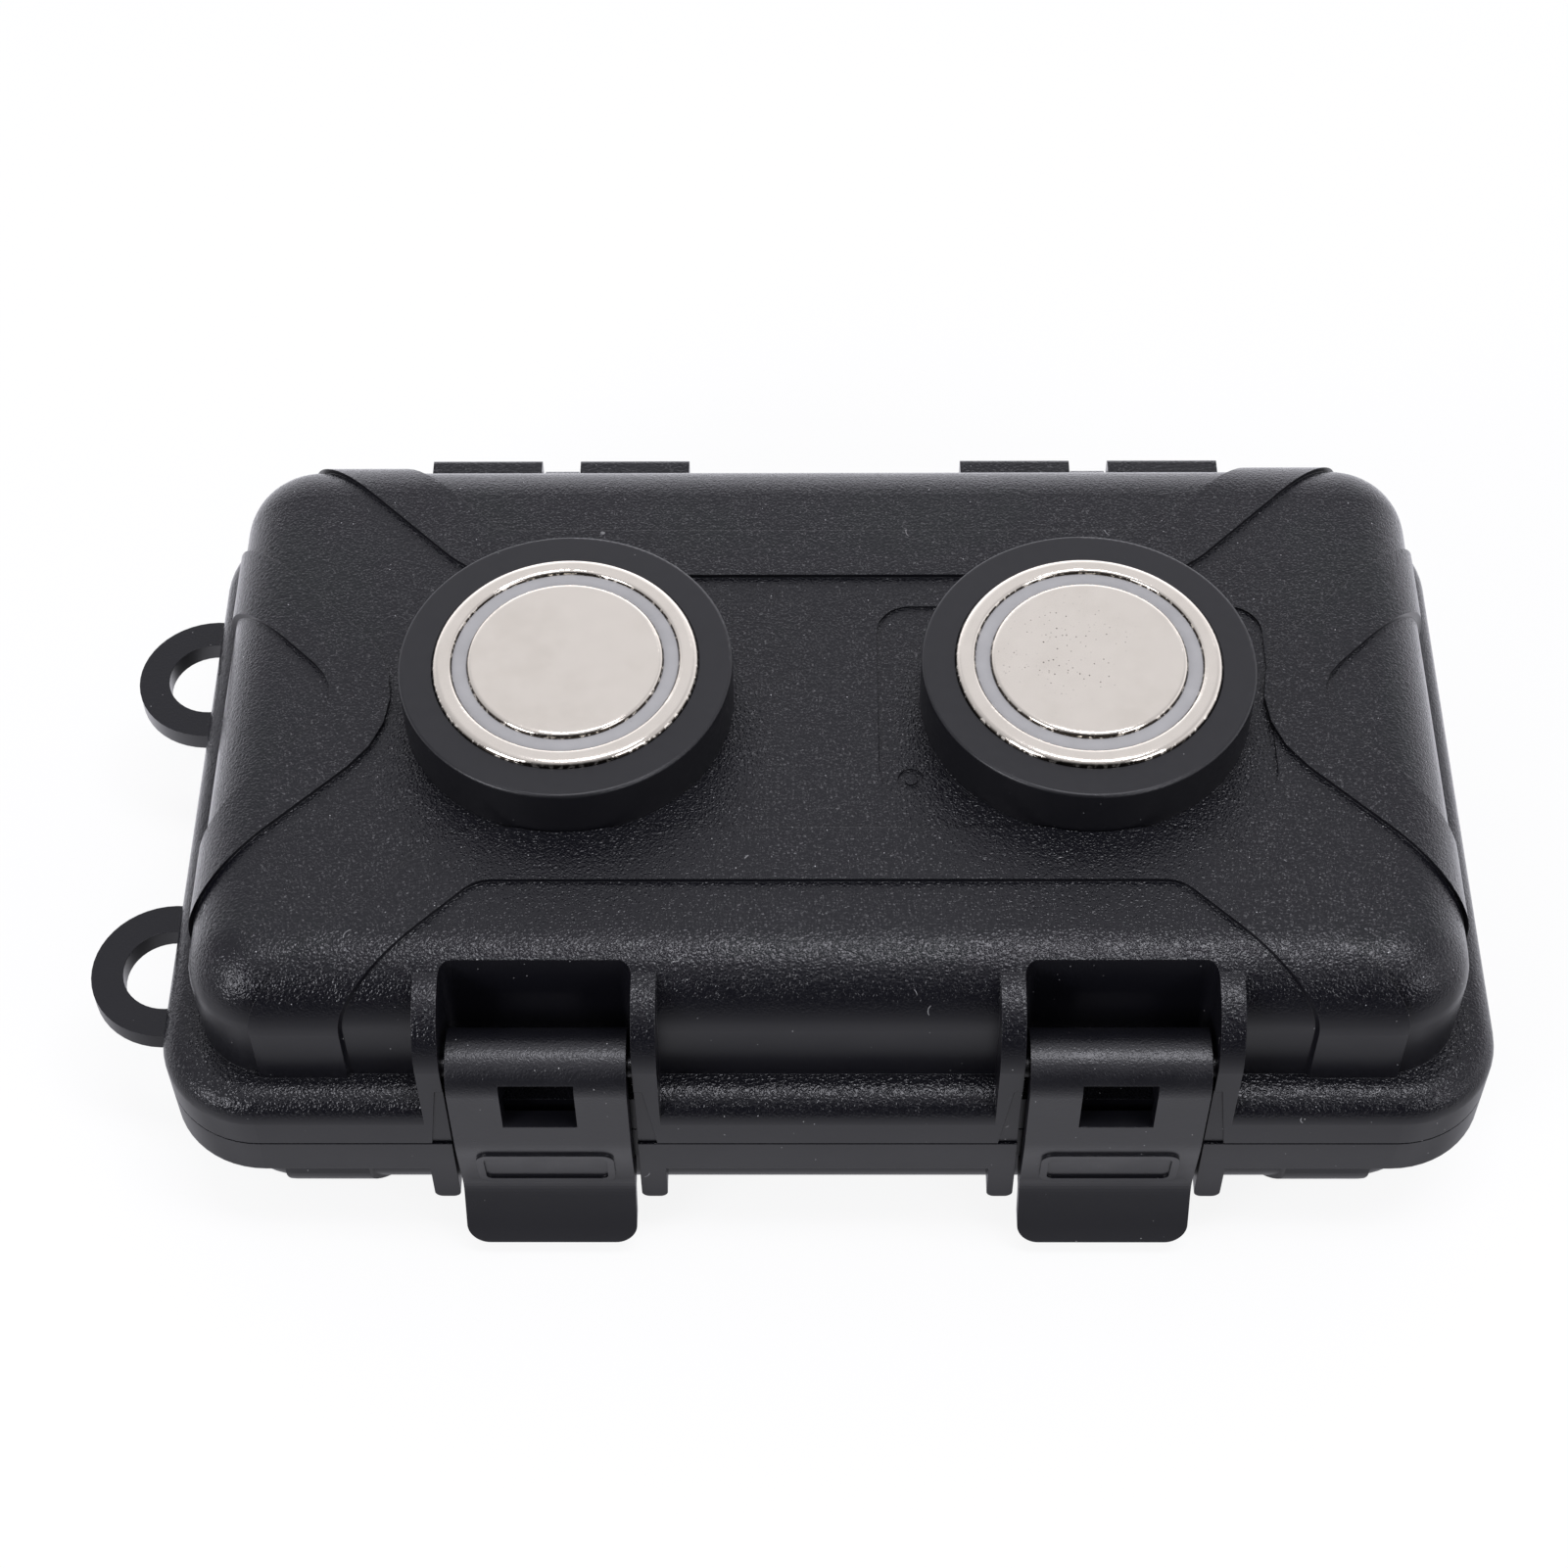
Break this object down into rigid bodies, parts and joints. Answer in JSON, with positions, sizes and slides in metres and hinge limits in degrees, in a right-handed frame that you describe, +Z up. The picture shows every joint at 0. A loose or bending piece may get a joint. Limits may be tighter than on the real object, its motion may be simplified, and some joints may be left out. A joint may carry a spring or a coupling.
{
  "type": "magnetic key case",
  "caption": "Waterproof case for keys: a hinged moulded shell with snap latches, lanyard loops and rubber-collared pot magnets on top, to cling to a steel surface.",
  "frame": {"origin": "Centre of the flat underside of the lower shell, midway along its length and between the front and back of its rim.", "axes": "+X runs along the case, with the lanyard loops at the -X end; -Y is the latch side and +Y the hinge side; +Z points up, out of the magnet faces."},
  "size_m": [0.17, 0.1042, 0.054],
  "materials": {
    "shell_plastic": "black moulded plastic with a fine leather grain on its top and rounded edges",
    "latch_plastic": "smooth black moulded plastic with a little grain on the barrel",
    "seal_rubber": "soft black seal rubber",
    "collar_rubber": "smooth black rubber",
    "nickel_plate": "nickel plate, satin, slightly warm",
    "epoxy_filling": "dull grey cast filling",
    "bright_steel": "plain zinc-plated steel"
  },
  "bodies": {
    "base": {"lower_shell": "shell_plastic", "hinge_pin_left": "bright_steel", "hinge_pin_right": "bright_steel"},
    "lid": {"upper_shell": "shell_plastic", "lid_seal": "seal_rubber", "magnet_cup_left": "nickel_plate", "magnet_cup_right": "nickel_plate", "magnet_disc_left": "nickel_plate", "magnet_disc_right": "nickel_plate", "epoxy_ring_left": "epoxy_filling", "epoxy_ring_right": "epoxy_filling", "rubber_collar_left": "collar_rubber", "rubber_collar_right": "collar_rubber", "stud_left": "bright_steel", "stud_right": "bright_steel", "washer_left": "bright_steel", "washer_right": "bright_steel", "lock_nut_left": "bright_steel", "lock_nut_right": "bright_steel"},
    "latch_left_body": {"latch_left": "latch_plastic"},
    "latch_right_body": {"latch_right": "latch_plastic"}
  },
  "joints": [
    {"name": "lid_hinge", "type": "hinge", "parent": "base", "child": "lid", "pos_m": [0, 0.0506, 0.027], "axis": [-1, 0, 0], "range_deg": [0, 180]},
    {"name": "latch_left_pivot", "type": "hinge", "parent": "lid", "child": "latch_left_body", "pos_m": [-0.0336, -0.0442, 0.0334], "axis": [-1, 0, 0], "range_deg": [0, 115]},
    {"name": "latch_right_pivot", "type": "hinge", "parent": "lid", "child": "latch_right_body", "pos_m": [0.0336, -0.0442, 0.0334], "axis": [-1, 0, 0], "range_deg": [0, 115]}
  ]
}
